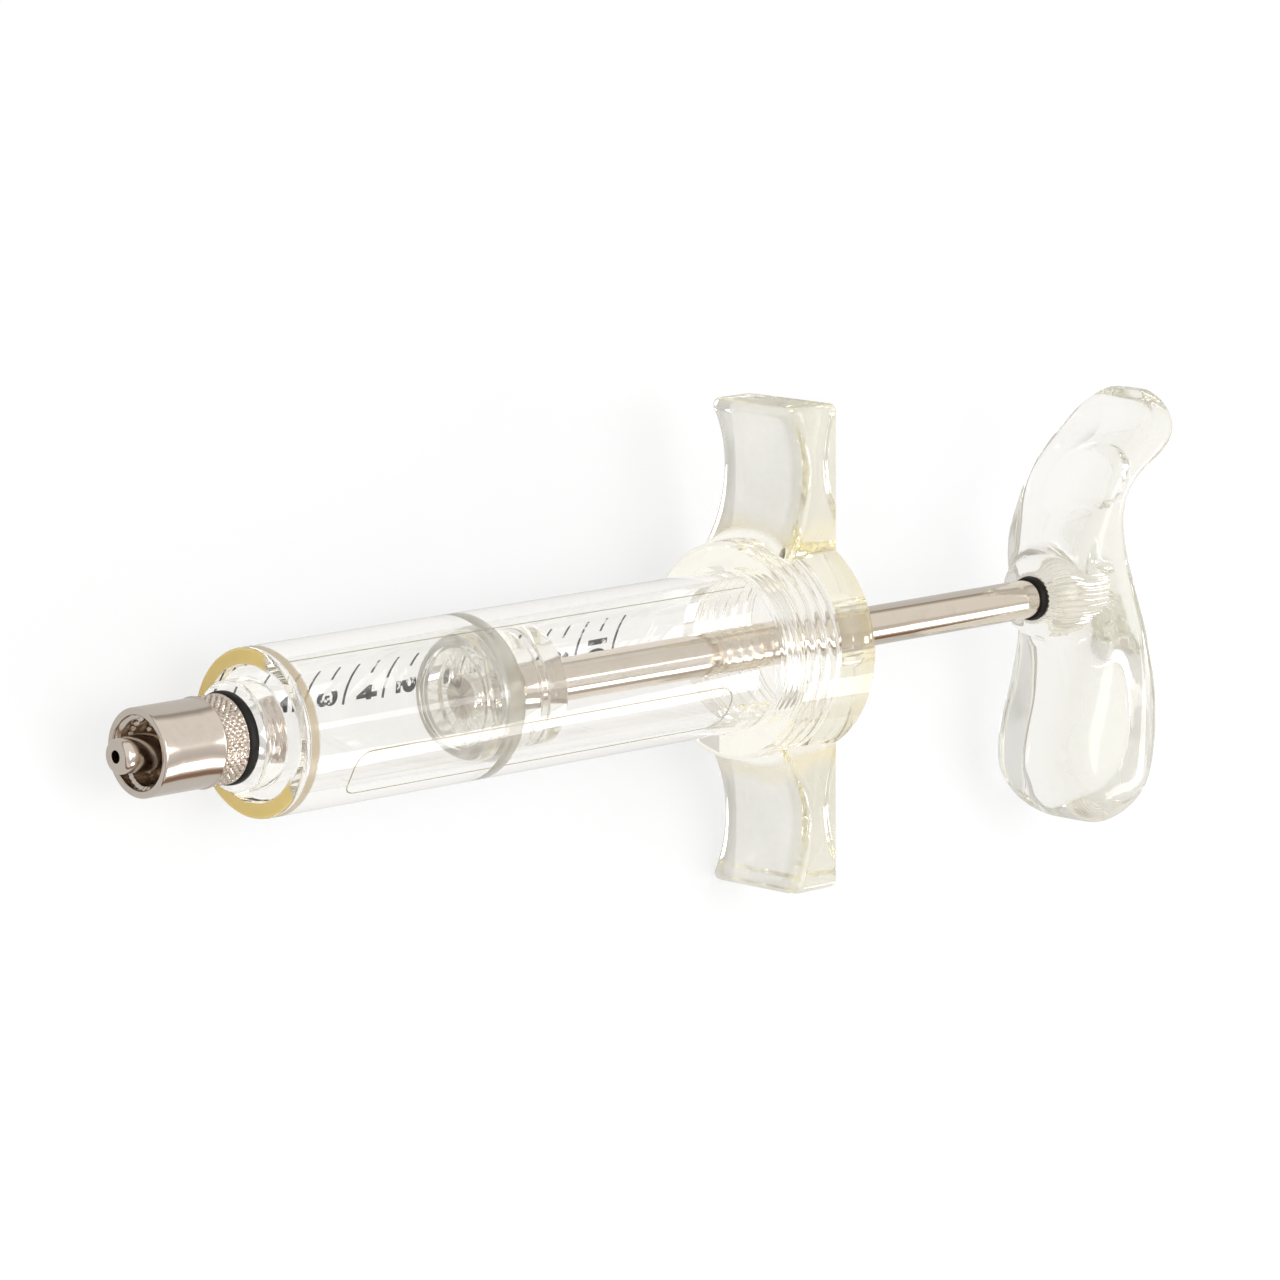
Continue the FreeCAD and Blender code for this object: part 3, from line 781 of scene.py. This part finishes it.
def gripRing(level, shrink=1.0):  # one level ring of the palm grip, a squarish oval
    g = grip
    top, foot = g["sections"][0][0] + g["end"], -g["sections"][-1][0] + g["end"]
    front = smoothly([(height, value) for height, value, other in g["sections"]], level)
    back = smoothly([(height, value) for height, other, value in g["sections"]], level)
    plain = (g["footWidth"] + (g["topWidth"] - g["footWidth"]) * (level + foot) / (top + foot)) / 2
    inset = max(0.0, level - top + g["corner"], -level - foot + g["corner"])
    wide = (plain - g["corner"] + math.sqrt(g["corner"] ** 2 - inset ** 2)) * shrink
    deep = (back - front) / 2 * shrink
    centre = handle["hub"] + (front + back) / 2
    ring = []
    for k in range(g["segments"]):
        angle = 2 * math.pi * k / g["segments"]
        c, s = abs(math.cos(angle)) / deep, abs(math.sin(angle)) / wide
        reach = (c ** g["squareness"] + s ** g["squareness"]) ** (-1 / g["squareness"])
        x, y = centre + reach * math.cos(angle), reach * math.sin(angle)
        if x < centre:
            away = (g["hubRadius"] + g["hubBlend"] / 2 - math.hypot(y, level)) / g["hubBlend"]
            away = max(0.0, min(1.0, away))
            x += (handle["hub"] - x) * away * away * (3 - 2 * away)
        ring.append((x, y, level))
    return ring


def makeGrip():
    g = grip
    top, foot = g["sections"][0][0], g["sections"][-1][0]
    count = int((top - foot) / g["rowSpacing"])
    dome = [(math.sin(math.radians(turn)), math.cos(math.radians(turn))) for turn in g["domeTurns"]]
    high, low = top - g["dome"], foot + g["dome"]
    rings = [gripRing(high + g["dome"] * rise, share) for rise, share in dome]
    for k in range(count + 1):
        rings.append(gripRing(high + (low - high) * (0.5 - 0.5 * math.cos(math.pi * k / count))))
    rings += [gripRing(low - g["dome"] * rise, share) for rise, share in reversed(dome)]
    vertices = [point for ring in rings for point in ring]
    n = g["segments"]
    faces = [[row + k, row + (k + 1) % n, row + n + (k + 1) % n, row + n + k]
             for row in range(0, n * (len(rings) - 1), n) for k in range(n)]
    faces += [list(range(n)), list(range(n * (len(rings) - 1), n * len(rings)))]
    return newPiece("palmHandle", vertices, faces, "handleClear", 60.0)


def insertRelief(x, radius, angle):
    if abs(radius - handle["insert"]) < 0.05:
        return handle["tooth"] * (0.5 * math.cos(handle["teeth"] * angle) - 0.2)
    return 0.0


def makeHandle():
    h = handle
    start, bore = piston["rodStart"], piston["rod"]
    face, radius = h["hub"] - h["recess"], bore - h["rodGap"]
    rod = turned("plungerRod", [
        (start, 0.0), (start, radius, 0.15), (h["insertEnd"], radius, 0.2), (h["insertEnd"], 0.0)],
        "polishedRod", 96, closed=False)
    ring = turned("handleRing", [
        (h["ringStart"], bore), (h["ringStart"], h["ringFront"], 0.08),
        (face, h["ring"], 0.08), (face, bore)],
        "blackRubber", 96)
    insert = turned("handleInsert", [
        (face, bore), (face, h["insert"]), (h["insertEnd"], h["insert"]), (h["insertEnd"], bore)],
        "knurledInsert", 256, insertRelief)
    for piece, node, slot in (
            (rod, "plunger_rod", "rod_steel"), (ring, "handle_ring", "black_rubber"),
            (insert, "handle_insert", "insert_metal"), (makeGrip(), "handle", "handle_plastic")):
        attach(piece, "plunger")
        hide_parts(node)


# Table and light

studio = {
    "tableSize": 6.0, "tableColour": (0.93, 0.93, 0.93),
    "glowToCamera": 0.72, "glowToOthers": 0.88,  # share of the table's own white, the rest takes shadow
    "farSideStarts": (-0.22, -0.08),  # y of the direction looked in
    # how bright the room is at each height, on the reader's side and on the far side
    "nearSide": [
        (0.0, (0.27, 0.16, 0.1, 1.0)), (0.2, (0.27, 0.16, 0.1, 1.0)), (0.29, (0.85, 0.82, 0.8, 1.0)),
        (0.55, (0.8, 0.76, 0.73, 1.0)), (0.7, (0.6, 0.56, 0.53, 1.0)), (0.9, (0.9, 0.88, 0.86, 1.0))],
    "farSide": [
        (0.0, (0.4, 0.36, 0.33, 1.0)), (0.12, (0.4, 0.36, 0.33, 1.0)), (0.3, (0.92, 0.89, 0.85, 1.0)),
        (1.0, (0.9, 0.88, 0.86, 1.0))],
    "throughPlastic": (1.0, 0.985, 0.955, 1.0), "inMirrors": (0.62, 0.61, 0.59, 1.0),
    "roomLight": (0.76, 0.76, 0.76, 1.0),  # what dull surfaces get, and see-through rays in part
    "plainThroughPlastic": 0.5,
    "lampsAim": (0.0, 0.0, 0.01),
    "topLamp": ((0.1, -0.1, 0.95), (0.6, 0.6), 3.6),  # place, size and watts
    "stripLamp": ((1.02, -0.84, 0.7), (1.1, 0.36), 5.5),
}


def ray(finish, kind):  # 1 for rays of a kind, or the number of bounces of a kind
    return finish.node("ShaderNodeLightPath", None, None, kind)


def seenDirectly(finish):  # 1 for camera, mirror and see-through rays
    rays = [ray(finish, kind) for kind in ("Is Camera Ray", "Is Glossy Ray", "Is Transmission Ray")]
    return (rays[0] + rays[1] + rays[2]).clamped()


def makeTable():
    half = studio["tableSize"] / 2
    mesh = bpy.data.meshes.new("table")
    corners = [(-half, -half, 0), (half, -half, 0), (half, half, 0), (-half, half, 0)]
    mesh.from_pydata(corners, [], [[0, 1, 2, 3]])
    table = bpy.data.objects.new("table", mesh)
    bpy.context.scene.collection.objects.link(table)
    finish = newFinish("paleTable")
    matt = finish.node("ShaderNodeBsdfDiffuse", None, {"Color": (*studio["tableColour"], 1.0)})
    byCamera, throughPlastic = ray(finish, "Is Camera Ray"), ray(finish, "Is Transmission Ray")
    colour = finish.mixed(throughPlastic, studio["inMirrors"], studio["throughPlastic"])
    colour = finish.mixed(byCamera, colour, (1.0, 1.0, 1.0, 1.0))
    white = finish.node("ShaderNodeEmission", None, {"Color": colour, "Strength": 1.0})
    toCamera, toOthers = studio["glowToCamera"], studio["glowToOthers"]
    share = seenDirectly(finish) * (byCamera * (toCamera - toOthers) + toOthers)
    surface = finish.node("ShaderNodeMixShader", None, [share, matt, white])
    mesh.materials.append(close(finish, surface))


def makeWorld():
    world = bpy.data.worlds.new("softStudio")
    bpy.context.scene.world = world
    world.use_nodes = True
    finish = Finish(world.node_tree)
    direction = finish.node("ShaderNodeTexCoord", None, None, "Generated")
    y, z = [finish.node("ShaderNodeSeparateXYZ", None, [direction], axis) for axis in ("Y", "Z")]
    near, far = [finish.node("ShaderNodeValToRGB", {"stops": studio[side]}, [z])
                 for side in ("nearSide", "farSide")]
    colour = finish.mixed(finish.step(y, *studio["farSideStarts"]), near, far)
    diffuse = ray(finish, "Diffuse Depth") + ray(finish, "Is Diffuse Ray")
    plain = diffuse + ray(finish, "Is Transmission Ray") * studio["plainThroughPlastic"]
    colour = finish.mixed(plain.clamped(), colour, studio["roomLight"])
    background = finish.node("ShaderNodeBackground", None, {"Color": colour, "Strength": 1.0})
    finish.node("ShaderNodeOutputWorld", None, {"Surface": background})


def addLamp(name):
    place, size, watts = studio[name]
    data = bpy.data.lights.new(name, "AREA")
    data.shape = "RECTANGLE"
    data.size, data.size_y = size
    data.energy = watts
    lamp = bpy.data.objects.new(name, data)
    bpy.context.scene.collection.objects.link(lamp)
    lamp.location = place
    aim = Vector(studio["lampsAim"]) - Vector(place)
    lamp.rotation_euler = aim.to_track_quat("-Z", "Y").to_euler()


def allowLongLightPaths():  # light runs far inside clear plastic
    paths = bpy.context.scene.cycles
    paths.max_bounces = 28
    paths.diffuse_bounces = 12
    paths.glossy_bounces = 20
    paths.transmission_bounces = 28


setUpCamera()
makeTable()
makeWorld()
addLamp("topLamp")
addLamp("stripLamp")
allowLongLightPaths()
print("studio ready")

makeNozzle()
print("nozzle ready")
makeBarrel()
makeScale()
makePanel()
print("barrel ready")
makeFlange()
print("flange ready")
makePiston()
makeHandle()
print("plunger ready")

bpy.context.scene.view_settings.view_transform = "Standard"
bpy.context.view_layer.update()
